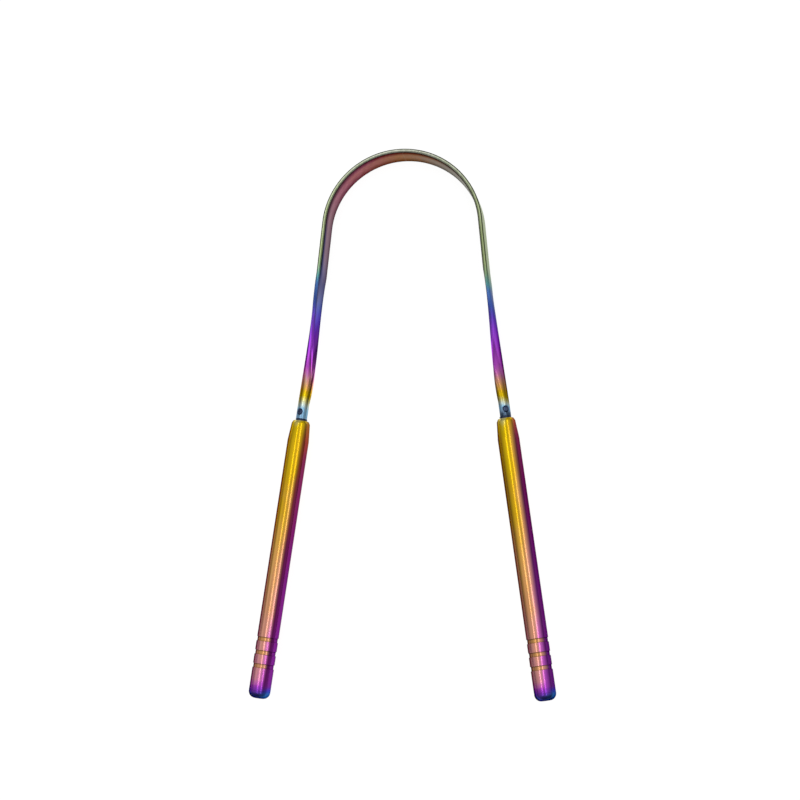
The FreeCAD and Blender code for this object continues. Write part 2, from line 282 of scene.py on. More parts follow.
# How far each handle's film is from that, how much it thickens over a radius to the right, and from
# where on.
FILM_SHIFT_SHARES = {"left": 0.0, "right": -0.006}
FILM_TILT_SHARES = {"left": 0.05, "right": 0.10}
FILM_TILT_START_SHARE = -0.1
# Where the right flank's darker colours, partly painted shade, start, up from the foot to the nose, and
# how far on they are full.
FLANK_START_SHARES = {
    "left": ((0.0, 0.27), (0.55, 0.28), (0.75, 0.31), (1.0, 0.44)),
    "right": ((0.0, 0.36), (0.3, 0.3), (0.75, 0.28), (1.0, 0.36)),
}
FLANK_RUN_SHARES = {"left": 0.28, "right": 0.4}
# How much thicker the film is across the flank, and how much of that there is up to the nose.
FLANK_FILM_SHARES = {
    "left": ((0.5, 0.0), (0.85, 0.065)),
    "right": ((0.4, 0.05), (0.55, 0.085), (0.85, 0.09)),
}
FLANK_NOSE_SHARES = {
    "left": ((0.74, 1.0), (0.86, 0.8), (0.95, 0.15), (1.0, 0.0)),
    "right": ((0.74, 1.0), (0.9, 0.8), (1.0, 0.3)),
}
# Painted shade and highlight across the handle: how bright the film is, and how much of that there is
# from the foot to the nose.
ACROSS_SHADE_SHARES = {
    "left": (
        (-0.48, 1.0), (-0.38, 1.4), (-0.26, 1.0), (0.45, 1.0),
        (0.56, 1.25), (0.7, 2.2), (0.85, 1.6),
    ),
    "right": ((0.45, 1.0), (0.55, 1.3), (0.68, 1.4), (0.82, 0.9)),
}
ACROSS_RISE_SHARES = ((0.0, 0.2), (0.05, 1.0), (0.7, 1.0), (0.96, 0.2))
# Painted shade on the left rim: where it starts and is full, how much of the flank's darker colour it
# shows, and how bright it is.
RIM_SHARES = {"left": (0.42, 0.85), "right": (0.42, 0.88)}
RIM_DEEP_SHARES = {"left": 0.85, "right": 0.6}
RIM_SHADE_SHARES = {"left": 0.55, "right": 0.38}
# Painted shade on the handle's rounded end: how bright the film is left up it, and at least how bright
# on the right flank.
END_SHADE_SHARES = ((0.0, 0.4), (0.006, 0.45), (0.018, 0.7), (0.03, 1.0))
END_FLANK_SHADE_SHARE = 0.5
# The rounded end's painted dark reflection, a spot: how far up it lies, where it is across the end, how
# far it reaches, and how dark it is.
SPOT_RISE_SHARES = ((0.001, 0.0), (0.005, 1.0), (0.014, 1.0), (0.02, 0.0))
SPOT_PLACE_SHARES = {"left": -0.2, "right": 0.15}
SPOT_REACH_SHARES = (0.35, 0.65)
SPOT_DARK_SHARE = 0.55
# Painted shade in a groove: how bright the film is left up it, darkest along its upper side.
GROOVE_SHADE_SHARES = ((0.0, 0.5), (0.27, 0.85), (0.73, 0.8), (1.0, 0.12))
# The film that a groove shows, and how much of it.
GROOVE_FILM_SHARE = 0.2
GROOVE_MIX_SHARE = 0.5

# How much of its light the film keeps at a grazing angle: a floor where it is bright, lowered where shade
# is painted, and the share of its colour on top.
GRAZING_FLOOR_SHARE = 0.44
GRAZING_COLOUR_SHARE = 0.56

# The brushed grain: strokes to the metre across it and along it, and how finely they are broken up.
FINE_GRAIN = (2600, 60, 3.0)
BROAD_GRAIN = (900, 25, 2.0)
CLOUD_GRAIN = (160, 90, 3.0)
SCORED_GRAIN = (3000, 3000, 2.0)
MOTTLED_GRAIN = (400, 400, 3.0)
# The range that most of a noise's values lie in, and what the grain makes of it: how bright and how
# rough the metal is, and how far the film's colour wanders.
NOISE_SHARES = (0.3, 0.7)
STROKE_VALUE_SHARES = (0.72, 1.18)
STROKE_ROUGH_SHARES = (-0.05, 0.07)
CLOUD_WANDER_SHARE = 0.03
BROAD_WANDER_SHARE = 0.02
# How strongly the grain stands out, and how high, and how rough the strip and the handles are.
FILM_BUMP_SHARE = 0.25
STEEL_BUMP_SHARE = 0.2
BUMP_HEIGHT = 0.02
STRIP_ROUGH_SHARE = 0.3
HANDLE_ROUGH_SHARE = 0.2

# Where a Mix node has its two colours, and the mixed one.
MIX_FIRST_COLOUR = 6
MIX_SECOND_COLOUR = 7
MIX_RESULT_COLOUR = 2

# The turned pieces' steel: its darkest and palest colours, and how rough it is.
PIN_COLOURS = ((12, 20, 52), (96, 112, 146))
PIN_ROUGH_SHARE = 0.16
STUD_COLOURS = ((22, 28, 44), (70, 80, 104))
STUD_ROUGH_SHARE = 0.3
BUSH_COLOURS = ((120, 122, 126), (176, 178, 182))
BUSH_ROUGH_SHARE = 0.35

# The photograph's camera, and the size of the picture that its scale belongs to.
CAMERA_DISTANCE = 500.0
CAMERA_SWING = math.radians(8.38)
CAMERA_TILT = math.radians(8.2)
CAMERA_ROLL = math.radians(0.4)
CAMERA_OFFSET = (-0.7, 5.545)
PICTURE_PIXELS = 800
PIXELS_PER_MM = 3.7776
SENSOR_WIDTH = 36.0

# The studio: a pale floor, a sky that is brighter higher up, and two long lights overhead.
FLOOR_HALF_SIZE = 3000.0
FLOOR_GAP = 0.02
FLOOR_WHITE_SHARE = 0.92
FLOOR_GLOW_SHARE = 0.75
FLOOR_GLOW = 1.2
SKY_SHARES = ((0.0, 0.36), (0.28, 0.44), (0.6, 0.56), (0.8, 0.63), (1.0, 0.66))
STRIP_LIGHT_HEIGHT = 600.0
STRIP_LIGHT_WIDTH = 60.0
STRIP_LIGHT_LENGTH = 900.0
STRIP_LIGHT_LEANS = (math.radians(-17), math.radians(20))
STRIP_LIGHT_POWER = 0.35


def joint(name):
    """One of the frame's joints."""
    return next(found for found in frame["joints"] if found["name"] == name)


def mount(name):
    """One of the record's mounts."""
    return next(found for found in frame["record"]["mounts"] if found["name"] == name)


# The strip's main sizes, from the frame. A leg's hinge lies at its quarter arch's centroid, which is
# 2 / pi radii out from the arch's centre both ways.
leg_hinge = Vector(joint("right_leg_flex")["pos_m"]) / MM
band_low, band_high = (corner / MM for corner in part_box("scraper_band"))
MID_Z = leg_hinge.z
ARCH_RADIUS = leg_hinge.x * math.pi / 2
ARCH_Y = leg_hinge.y - leg_hinge.x
STRIP_HALF_WIDTH = (band_high.z - band_low.z) / 2
STRIP_HALF_THICKNESS = band_high.y - ARCH_Y - ARCH_RADIUS
HANDLE_RADIUS = mount("right_grip")["dims"]["r_mm"]
handle_way = Vector(joint("right_handle_pull")["axis"])
HANDLE_ANGLE = math.atan2(handle_way.x, -handle_way.y)
BORE_RADIUS = HANDLE_RADIUS - HANDLE_WALL

# A place along the strip and the section there: the path's x and y, the outward angle, the section's
# half width, half thickness and half angle, and its crest's offset.
Station = namedtuple("Station", "x y angle half_width half_sheet half_angle crest")
CURL_ANGLE = (LEG_ANGLE + HANDLE_ANGLE) / 2
CURL_RADIUS = NECK_RADIUS - NECK_WALL / 2
NECK_HALF_WIDTH = CURL_RADIUS * CURL_HALF_ANGLE
FLAT_SECTION = (STRIP_HALF_WIDTH, STRIP_HALF_THICKNESS, 0, 0)
NECK_SECTION = (NECK_HALF_WIDTH, NECK_WALL / 2, CURL_HALF_ANGLE, CURL_RADIUS + NECK_OUTSET)


def handle_place(name):
    """A handle's own place: its origin at the free end's middle, X to the right and Y up to the nose."""
    up = -Vector(joint(f"{name}_handle_pull")["axis"])
    grip = Vector(mount(f"{name}_grip")["pos_m"])
    end = min((vertex.co - grip).dot(up) for vertex in frame["nodes"][f"{name}_end_plug"].data.vertices)
    turn = Matrix((up.cross(UP), up, UP)).transposed()
    return Matrix.Translation(grip + end * up) @ turn.to_4x4()


def measured_handle_length():
    """From the plug's outer end to the nose's face, in millimetres."""
    to_handle = handle_place("right").inverted()
    tube = frame["nodes"]["right_handle_tube"].data.vertices
    return max((to_handle @ vertex.co).y for vertex in tube) / MM


HANDLE_LENGTH = measured_handle_length()


def pin_place(name, side):
    """A pin's own place: its origin on the neck's axis, Y out through its head."""
    place = handle_place(name)
    along = place.col[1].to_3d()
    outward = place.col[0].to_3d() * side
    out = UP * math.cos(PIN_TURN) + outward * math.sin(PIN_TURN)
    turn = Matrix((out.cross(along), out, along)).transposed()
    origin = place @ Vector((0, (HANDLE_LENGTH + PIN_RISE) * MM, 0))
    return Matrix.Translation(origin) @ turn.to_4x4()


def new_piece(name, points, faces, place=Matrix.Identity(4)):
    """A smooth mesh piece from points in millimetres, creased where its faces meet sharply."""
    mesh = bpy.data.meshes.new(name)
    mesh.from_pydata([Vector(point) * MM for point in points], [], faces)
    mesh.polygons.foreach_set("use_smooth", [True] * len(mesh.polygons))
    mesh.set_sharp_from_angle(angle=SHARP_ANGLE)
    piece = bpy.data.objects.new(name, mesh)
    piece.matrix_world = place
    scene.collection.objects.link(piece)
    return piece


def settle(piece):
    """Put a piece's place into its mesh, so that its box lies along the frame's axes."""
    piece.data.transform(piece.matrix_world)
    piece.matrix_world = Matrix.Identity(4)


def rounded(corners):
    """An outline's points. A corner is its place and the radius of the arc that rounds it, or 0."""
    points = []
    for index, (x, y, radius) in enumerate(corners):
        here = Vector((x, y))
        if not radius:
            points.append(here)
            continue
        before = (Vector(corners[index - 1][:2]) - here).normalized()
        after = (Vector(corners[(index + 1) % len(corners)][:2]) - here).normalized()
        half = before.angle(after) / 2
        centre = here + (before + after).normalized() * radius / math.sin(half)
        first = here + before * radius / math.tan(half) - centre
        last = here + after * radius / math.tan(half) - centre
        turn = math.atan2(first.cross(last), first.dot(last))
        for step in range(FILLET_STEPS + 1):
            points.append(centre + Matrix.Rotation(turn * step / FILLET_STEPS, 2) @ first)
    return points


def with_rings(points):
    """The same outline with points added along its long straight runs."""
    dense = []
    for here, following in zip(points, points[1:] + points[:1]):
        on_axis = here.x == 0 and following.x == 0
        steps = 1 if on_axis else max(1, math.ceil((following - here).length / RING_STEP))
        dense += [here.lerp(following, step / steps) for step in range(steps)]
    return dense


def turned_piece(name, outline, place):
    """A body turned about its own Y axis, from a closed outline of radii and heights."""
    points = []
    rings = []
    for radius, height in outline:
        count = TURNED_STEPS if radius > 0 else 1
        rings.append(range(len(points), len(points) + count))
        for step in range(count):
            angle = 2 * math.pi * step / TURNED_STEPS
            points.append((radius * math.cos(angle), height, -radius * math.sin(angle)))
    faces = []
    for low, high in zip(rings, rings[1:] + rings[:1]):
        for step in range(TURNED_STEPS):
            corners = [low[step % len(low)], low[(step + 1) % len(low)]]
            corners += [high[(step + 1) % len(high)], high[step % len(high)]]
            corners = list(dict.fromkeys(corners))
            if len(corners) > 2:
                faces.append(corners)
    return new_piece(name, points, faces, place)


def down_strip(angle):
    """The way down the strip where it faces out at this angle."""
    return Vector((math.sin(angle), -math.cos(angle)))


def arch_stations():
    """Sections of the quarter arch, from its crown to its shoulder."""
    stations = []
    for step in range(ARCH_STEPS):
        share = (step / ARCH_STEPS) ** ARCH_CROWDING
        angle = math.pi / 2 + (LEG_ANGLE - math.pi / 2) * share
        arch = Vector((math.cos(angle), math.sin(angle))) * ARCH_RADIUS
        stations.append(Station(arch.x, ARCH_Y + arch.y, angle, *FLAT_SECTION))
    return stations


def leg_stations(shoulder):
    """Sections of the flat leg, down from the shoulder."""
    stations = []
    for step in range(LEG_STEPS):
        point = shoulder + down_strip(LEG_ANGLE) * LEG_LENGTH * step / LEG_STEPS
        stations.append(Station(point.x, point.y, LEG_ANGLE, *FLAT_SECTION))
    return stations


def curl_stations(foot):
    """Sections of the leg where it thins and curls up into the neck."""
    stations = []
    for step in range(CURL_STEPS):
        share = step / CURL_STEPS
        point = foot + down_strip(CURL_ANGLE) * CURL_LENGTH * share
        angle = LEG_ANGLE + (HANDLE_ANGLE - LEG_ANGLE) * share
        half_width = STRIP_HALF_WIDTH + (NECK_HALF_WIDTH - STRIP_HALF_WIDTH) * share
        half_sheet = STRIP_HALF_THICKNESS + (NECK_WALL / 2 - STRIP_HALF_THICKNESS) * share
        half_angle = CURL_HALF_ANGLE * share ** CURL_POWER
        crest = (CURL_RADIUS + NECK_OUTSET) * share
        stations.append(Station(point.x, point.y, angle, half_width, half_sheet, half_angle, crest))
    return stations


def neck_stations(neck):
    """Sections of the rolled neck, down to its end above the stud's collar."""
    stations = []
    length = NECK_LENGTH - COLLAR_RISE - COLLAR_GAP
    for step in range(NECK_STEPS + 1):
        point = neck + down_strip(HANDLE_ANGLE) * length * step / NECK_STEPS
        stations.append(Station(point.x, point.y, HANDLE_ANGLE, *NECK_SECTION))
    return stations


def strip_stations():
    """Where half the strip's sections stand, from the arch's crown to the neck's end."""
    shoulder = Vector((math.cos(LEG_ANGLE), math.sin(LEG_ANGLE))) * ARCH_RADIUS + Vector((0, ARCH_Y))
    foot = shoulder + down_strip(LEG_ANGLE) * LEG_LENGTH
    neck = foot + down_strip(CURL_ANGLE) * CURL_LENGTH
    return arch_stations() + leg_stations(shoulder) + curl_stations(foot) + neck_stations(neck)


def strip_section(half_width, half_sheet):
    """The flat strip's section as a loop: places across it and offsets from its middle, edges rounded.
    It starts with the outer face, and each face has the same number of points."""
    edge_round = half_sheet * STRIP_EDGE_ROUND_SHARE
    flat = half_width - edge_round
    face = [flat * (2 * step / STRIP_FACE_STEPS - 1) for step in range(1, STRIP_FACE_STEPS)]
    edge = rounded([
        (0, half_sheet, 0),
        (half_width, half_sheet, edge_round),
        *[(half_width, half_sheet * share, 0) for share in STRIP_EDGE_PLACE_SHARES],
        (half_width, -half_sheet, edge_round),
        (0, -half_sheet, 0),
    ])[1:-1]
    outer = [(across, half_sheet) for across in face]
    half = outer + [tuple(point) for point in edge]
    return half + [(-across, -offset) for across, offset in half]


def curled(across, offset, half_width, half_angle):
    """A point of the flat section once the section is curled: how far out it lies, and how high."""
    if not half_angle:
        return offset, across
    radius = half_width / half_angle
    angle = across / radius
    return (radius + offset) * math.cos(angle) - radius, (radius + offset) * math.sin(angle)


def strip_half(name, side):
    """Half of the strip, from the crown to the neck's end, closed at both."""
    points = []
    stations = strip_stations()
    for station in stations:
        for across, offset in strip_section(station.half_width, station.half_sheet):
            out, height = curled(across, offset, station.half_width, station.half_angle)
            reach = station.crest + out
            x = station.x + reach * math.cos(station.angle)
            y = station.y + reach * math.sin(station.angle)
            points.append((side * x, y, MID_Z + height))
    count = len(points) // len(stations)
    faces = []
    for low in range(0, len(points) - count, count):
        for step in range(count):
            following = (step + 1) % count
            faces.append((low + step, low + following, low + count + following, low + count + step))
    faces += [tuple(reversed(face)) for face in strip_cap(count)]
    faces += [tuple(len(points) - count + corner for corner in face) for face in strip_cap(count)]
    if side < 0:
        faces = [tuple(reversed(face)) for face in faces]
    return new_piece(f"{name}_strip_half", points, faces)


def strip_cap(count):
    """The faces that close one end of the strip: quads between its two walls, and its rounded edges."""
    wall = STRIP_FACE_STEPS - 1
    half = count // 2
    quads = [(step, step + 1, count - half + wall - 2 - step, count - half + wall - 1 - step)
             for step in range(wall - 1)]
    near = tuple(range(wall - 1, half + 1))
    far = tuple(range(half + wall - 1, count)) + (0,)
    return quads + [near, far]


def cut_pin_hole(piece, place):
    """Cut the pin's hole, with a flared mouth, through the neck's wall."""
    mouth = NECK_RADIUS - PIN_HOLE_FLARE_DEPTH
    wide = PIN_HOLE_RADIUS + PIN_HOLE_FLARE
    top = NECK_RADIUS + CUT_OVERRUN
    outline = [
        (0, 0),
        (PIN_HOLE_RADIUS, 0),
        (PIN_HOLE_RADIUS, mouth),
        (wide, NECK_RADIUS),
        (wide, top),
        (0, top),
    ]
    cutter = turned_piece("pin_hole_cutter", outline, place)
    cut = piece.modifiers.new("pin_hole", "BOOLEAN")
    cut.object = cutter
    cut.solver = "EXACT"
    graph = bpy.context.evaluated_depsgraph_get()
    mesh = bpy.data.meshes.new_from_object(piece.evaluated_get(graph))
    piece.modifiers.clear()
    piece.data = mesh
    mesh.set_sharp_from_angle(angle=SHARP_ANGLE)
    bpy.data.objects.remove(cutter)


def handle_tube(name):
    """A tube with a drawn-in nose, a rounded mouth and grooves near its free end."""
    chamfer = HANDLE_LENGTH - NOSE_CHAMFER_LENGTH
    lip = HANDLE_LENGTH - NOSE_LIP_LENGTH
    shoulder_radius = HANDLE_RADIUS - NOSE_TAPER_DEPTH
    corners = [(BORE_RADIUS, PLUG_HEAD_LENGTH, 0), (HANDLE_RADIUS, PLUG_HEAD_LENGTH, TUBE_EDGE_ROUND)]
    for groove in range(GROOVE_COUNT):
        middle = GROOVE_FROM_END + GROOVE_PITCH * groove
        low, high = middle - GROOVE_WIDTH / 2, middle + GROOVE_WIDTH / 2
        floor = HANDLE_RADIUS - GROOVE_DEPTH
        corners += [
            (HANDLE_RADIUS, low, GROOVE_EDGE_ROUND),
            (floor, low, GROOVE_EDGE_ROUND),
            (floor, low + GROOVE_LINE, 0),
            (floor, high - GROOVE_LINE, 0),
            (floor, high, GROOVE_EDGE_ROUND),
            (HANDLE_RADIUS, high, GROOVE_EDGE_ROUND),
        ]
    corners += [
        (HANDLE_RADIUS, chamfer - NOSE_TAPER_LENGTH, NOSE_ROUND),
        (shoulder_radius, chamfer, NOSE_ROUND),
        (shoulder_radius - NOSE_CHAMFER_DEPTH, HANDLE_LENGTH, TUBE_EDGE_ROUND),
        (NOSE_OPEN_RADIUS, HANDLE_LENGTH, TUBE_EDGE_ROUND),
        (NOSE_OPEN_RADIUS, lip, 0),
        (BORE_RADIUS, lip - BORE_TAPER_LENGTH, 0),
    ]
    return turned_piece(f"{name}_tube_shell", with_rings(rounded(corners)), handle_place(name))


def end_plug(name):
    """A plug with a rounded head, whose shank is in the handle's lower end."""
    shank_end = PLUG_HEAD_LENGTH + PLUG_DEPTH
    corners = [
        (0, 0, 0),
        (HANDLE_RADIUS, 0, END_ROUND),
        (HANDLE_RADIUS, PLUG_HEAD_LENGTH, TUBE_EDGE_ROUND),
        (BORE_RADIUS, PLUG_HEAD_LENGTH, 0),
        (BORE_RADIUS, shank_end, TUBE_EDGE_ROUND),
        (0, shank_end, 0),
    ]
    return turned_piece(f"{name}_plug_cap", with_rings(rounded(corners)), handle_place(name))


def cross_pin(name, side):
    """A headed pin: its domed head fills the hole in the neck, its stem goes through the stud."""
    seat = NECK_RADIUS - NECK_WALL
    crown = NECK_RADIUS - PIN_CROWN_DROP
    corners = [
        (0, -PIN_STEM_REACH, 0),
        (PIN_STEM_RADIUS, -PIN_STEM_REACH, 0),
        (PIN_STEM_RADIUS, seat, 0),
        (PIN_HEAD_RADIUS, seat, 0),
        (PIN_HEAD_RADIUS, crown, PIN_CROWN_ROUND),
        (0, crown, 0),
    ]
    return turned_piece(f"{name}_pin_head", rounded(corners), pin_place(name, side))


def vertex_values(piece, kind="co"):
    """A piece's vertices, or their normals, one row each."""
    values = np.zeros(len(piece.data.vertices) * 3)
    if kind == "co":
        piece.data.vertices.foreach_get("co", values)
    else:
        piece.data.vertex_normals.foreach_get("vector", values)
    return values.reshape(-1, 3)


def paint(piece, grain, **shares):
    """Store each vertex's place along the grain, and the shares that the film's colour goes by."""
    for name, values in shares.items():
        attribute = piece.data.attributes.new(name, "FLOAT", "POINT")
        attribute.data.foreach_set("value", values.astype(np.float32))
    vectors = piece.data.attributes.new("grain", "FLOAT_VECTOR", "POINT").data
    vectors.foreach_set("vector", grain.ravel().astype(np.float32))


def smooth_between(values, low, high):
    """How far each value is from low to high, 0 to 1, eased at both ends."""
    share = np.clip((values - low) / (high - low), 0, 1)
    return share * share * (3 - 2 * share)


def follow(values, stops):
    """What these stops give at each value, in straight lines from stop to stop."""
    return np.interp(values, *zip(*stops))


def strip_walk(points, side):
    """How far up the strip each point is from the neck's end, as a share of the half strip's length;
    that length; and the outward angle at each point."""
    neck_end_y = strip_stations()[-1].y
    shoulder_y = ARCH_Y + ARCH_RADIUS * math.sin(LEG_ANGLE)
    angle = np.maximum(np.arctan2(points[:, 1] - ARCH_Y, points[:, 0] * side), LEG_ANGLE)
    run = (shoulder_y - neck_end_y) / math.cos(LEG_ANGLE) + ARCH_RADIUS * (math.pi / 2 - LEG_ANGLE)
    rise = (np.minimum(points[:, 1], shoulder_y) - neck_end_y) / math.cos(LEG_ANGLE)
    rise += ARCH_RADIUS * (angle - LEG_ANGLE)
    return rise / run, run, angle


def along_leg(points, rows):
    """What rows of a Y and other values, from the lowest Y up, give at each point's own Y."""
    places, *columns = zip(*rows)
    return [np.interp(points[:, 1], places, column) for column in columns]


def leg_sides(points, side):
    """Where across its leg each point is, seen from above: -1 at the left, 0 in the middle and 1 at the
    right."""
    rows = []
    for station in reversed(strip_stations()[ARCH_STEPS:]):
        section = strip_section(station.half_width, station.half_sheet)
        outs = [curled(*place, station.half_width, station.half_angle)[0] for place in section]
        low, high = station.crest + min(outs), station.crest + max(outs)
        rows.append((station.y, station.x, station.angle, low, high))
    path_x, angle, low, high = along_leg(points, rows)
    reach = (points[:, 0] * side - path_x) * np.cos(angle)
    return side * (2 * reach - low - high) / (high - low)


def inside_roll(points, normals, side):
    """How much each point faces the axis that its leg is rolled about: 1 inside the roll, 0 on its edges
    and -1 outside."""
    rows = []
    curl = strip_stations()[ARCH_STEPS + LEG_STEPS + 1:]
    for station in reversed(curl):
        axis = station.crest - station.half_width / station.half_angle
        rows.append((station.y, station.x, station.angle, axis))
    path_x, angle, axis = along_leg(points, rows)
    out = (points[:, 0] * side - path_x) * np.cos(angle) - axis
    up = points[:, 2] - MID_Z
    outward = normals[:, 0] * side * np.cos(angle) + normals[:, 1] * np.sin(angle)
    return -(outward * out + normals[:, 2] * up) / np.hypot(out, up)


def hole_rim(points, name, side):
    """How close each point is to the pin's hole: 1 in the hole, 0 beyond its flared mouth."""
    to_pin = np.array(pin_place(name, side).inverted())
    beside = points * MM @ to_pin[:3, :3].T + to_pin[:3, 3]
    distance = np.hypot(beside[:, 0], beside[:, 2]) / MM
    distance[beside[:, 1] < 0] = np.inf
    return 1 - smooth_between(distance, PIN_HOLE_RADIUS, PIN_HOLE_RADIUS + PIN_HOLE_FLARE)


def rolled_shade(points, normals, name, side):
    """Painted shade and light on a rolled leg: less by its sides, more on the roll's edges, and not the same
    inside the roll.
    """
    rise, _, _ = strip_walk(points, side)
    across = leg_sides(points, side)
    facing = inside_roll(points, normals, side)
    tip = 1 - smooth_between(np.abs(facing), *FACING_SHARES)
    hollow = smooth_between(facing, *FACING_SHARES)
    side_dark = 1 - follow(across, LEG_SHADE_SHARES[name])
    shade = 1 - side_dark * follow(rise, NECK_DARK_SHARES[name])
    hollow_shade = follow(np.abs(across), HOLLOW_SHADE_SHARES)
    hollow_shade *= follow(rise, HOLLOW_RISE_SHARES)
    shade += (hollow_shade - shade) * hollow
    shade += (follow(rise, TIP_SHADE_SHARES) - shade) * tip
    return shade * follow(rise, NECK_SHADE_SHARES[name])


def strip_depth(points):
    """How far down from the flat strip's upper edge each point is, as a share of the strip's width."""
    return (band_high.z - points[:, 2]) / (band_high.z - band_low.z)


def flat_strip_shade(points, normals, side, inner):
    """Painted shade and highlight on the flat strip: darker on its rounded edges and by its inner face's
    edges, with light and dark lines along the flats of its edges.
    """
    _, _, angle = strip_walk(points, side)
    up = np.abs(normals[:, 2])
    top = smooth_between(up, *EDGE_LINE_STOP_SHARES)
    line = smooth_between(up, *EDGE_LINE_START_SHARES) * (1 - top)
    face = follow(strip_depth(points), INNER_SHADE_SHARES)
    out = points[:, 0] * side * np.cos(angle) + (points[:, 1] - ARCH_Y) * np.sin(angle) - ARCH_RADIUS
    edge = follow(out / STRIP_HALF_THICKNESS, EDGE_SHADE_SHARES)
    shade = (1 - (1 - EDGE_LINE_SHADE_SHARE) * line) * (1 - inner + inner * face)
    return shade * (1 - top + top * edge)


def paint_strip(piece, name, side):
    """The strip's film by how far up from the neck's end a point is, and by which face it is on, with its
    painted shade and light.
    """
    points = vertex_values(piece) / MM
    normals = vertex_values(piece, "normal")
    rise, run, angle = strip_walk(points, side)
    flat = smooth_between(rise, *ROLLED_SHARES)
    inward = -(normals[:, 0] * side * np.cos(angle) + normals[:, 1] * np.sin(angle))
    inner = smooth_between(inward, 0, 1)
    film = follow(rise, EDGE_FILM_SHARES[name])
    # The pin's hole and its flared mouth get a dark film as painted shade.
    film += (HOLE_SHADE_FILM_SHARE - film) * hole_rim(points, name, side)
    shade = rolled_shade(points, normals, name, side) * (1 - flat)
    shade += flat_strip_shade(points, normals, side, inner) * flat
    from_right = (1 + side * (rise - 1)) / 2
    from_right += INNER_TILT_SHARE * (1 - smooth_between(strip_depth(points), 0, INNER_TILT_DEPTH_SHARE))
    grain = np.stack([points[:, 0], rise * run, points[:, 2]], axis=1) * MM
    deep = inner * smooth_between(rise, *INNER_START_SHARES)
    paint(piece, grain, film=film, deep_film=from_right, deep=deep, shade=shade)


def groove_places(points):
    """Which points lie in a groove, and how far up it, as a share of its width."""
    radius = np.hypot(points[:, 0], points[:, 2])
    above_first = points[:, 1] - GROOVE_FROM_END + GROOVE_WIDTH / 2
    groove = np.clip(np.floor(above_first / GROOVE_PITCH), 0, GROOVE_COUNT - 1)
    place = (above_first - groove * GROOVE_PITCH) / GROOVE_WIDTH
    depth = HANDLE_RADIUS - radius
    inside = (depth > GROOVE_DEPTH / 2) & (depth < GROOVE_DEPTH * 2) & (place > -1) & (place < 2)
    return inside, place


def end_spot(rise, to_right, name):
    """How much of the painted dark reflection on a handle's rounded end each point shows."""
    beside = np.abs(to_right - SPOT_PLACE_SHARES[name])
    return follow(rise, SPOT_RISE_SHARES) * (1 - smooth_between(beside, *SPOT_REACH_SHARES))


def handle_film(rise, to_right, name):
    """A handle's film, and the thicker film that its right flank's deep colours go by."""
    film = follow(rise, HANDLE_FILM_SHARES) + FILM_SHIFT_SHARES[name]
    thicker = follow(to_right, FLANK_FILM_SHARES[name])
    deep_film = film + thicker * follow(rise, FLANK_NOSE_SHARES[name])
    film += FILM_TILT_SHARES[name] * np.maximum(to_right - FILM_TILT_START_SHARE, 0)
    return film, deep_film


def paint_handle(piece, name):
    """A handle's film by how far up from its free end a point is, with darker colours on its right flank and
    painted shade and highlights over it.
    """
    points = vertex_values(piece) / MM
    rise = points[:, 1] / HANDLE_LENGTH
    to_right = points[:, 0] / HANDLE_RADIUS
    flank_start = follow(rise, FLANK_START_SHARES[name])
    deep = smooth_between(to_right, flank_start, flank_start + FLANK_RUN_SHARES[name])
    film, deep_film = handle_film(rise, to_right, name)
    shade = follow(rise, END_SHADE_SHARES)
    shade += np.maximum(END_FLANK_SHADE_SHARE - shade, 0) * deep
    shade *= 1 - SPOT_DARK_SHARE * end_spot(rise, to_right, name)
    in_groove, place = groove_places(points)
    film[in_groove] += GROOVE_MIX_SHARE * (GROOVE_FILM_SHARE - film[in_groove])
    shade[in_groove] = follow(place[in_groove], GROOVE_SHADE_SHARES)
    across_shade = follow(to_right, ACROSS_SHADE_SHARES[name])
    shade *= 1 + (across_shade - 1) * follow(rise, ACROSS_RISE_SHARES)
    rim = smooth_between(-to_right, *RIM_SHARES[name])
    shade *= 1 - (1 - RIM_SHADE_SHARES[name]) * rim
    deep = np.maximum(deep, RIM_DEEP_SHARES[name] * rim)
    paint(piece, points * MM, film=film, deep_film=deep_film, deep=deep, shade=shade)


def on_screen(colour):
    """A colour as it is on a screen, 0 to 255, as the shader's light values."""
    lights = []
    for level in colour:
        share = level / SCREEN_TOP_LEVEL
        if share <= SCREEN_FOOT_SHARE:
            lights.append(share / SCREEN_FOOT_SLOPE)
        else:
            lights.append(((share + SCREEN_OFFSET_SHARE) / (1 + SCREEN_OFFSET_SHARE)) ** SCREEN_POWER)
    return lights + [1]


def add_node(tree, kind, inputs=None, **settings):
    """A node with its settings, and its inputs set or linked."""
    made = tree.nodes.new(kind)
    for name, setting in settings.items():
        setattr(made, name, setting)
    for name, source in (inputs or {}).items():
        if isinstance(source, bpy.types.NodeSocket):
            tree.links.new(source, made.inputs[name])
        else:
            made.inputs[name].default_value = source
    return made


def add_math(tree, operation, first, second):
    """A sum of two shares, or another operation on them."""
    return add_node(tree, "ShaderNodeMath", {0: first, 1: second}, operation=operation).outputs[0]


def add_mean(tree, first, second):
    """The mean of two shares."""
    return add_math(tree, "DIVIDE", add_math(tree, "ADD", first, second), 2)


def add_ramp(tree, factor, stops):
    """A colour ramp through these stops: a share, and a colour with its alpha."""
    ramp = add_node(tree, "ShaderNodeValToRGB", {"Fac": factor})
    elements = ramp.color_ramp.elements
    elements.remove(elements[1])
    elements[0].position = stops[0][0]
    for share, _ in stops[1:]:
        elements.new(share)
    for element, (_, colour) in zip(elements, stops):
        element.color = colour
    return ramp.outputs["Color"]


def add_film(tree, share, colours):
    """The colour that a film of this share has among these screen colours."""
    return add_ramp(tree, share, [(stop, on_screen(colour)) for stop, colour in colours])


def new_material(name):
    """An empty material and its node tree."""
    material = bpy.data.materials.new(name)
    material.use_nodes = True
    tree = material.node_tree
    tree.nodes.clear()
    return material, tree


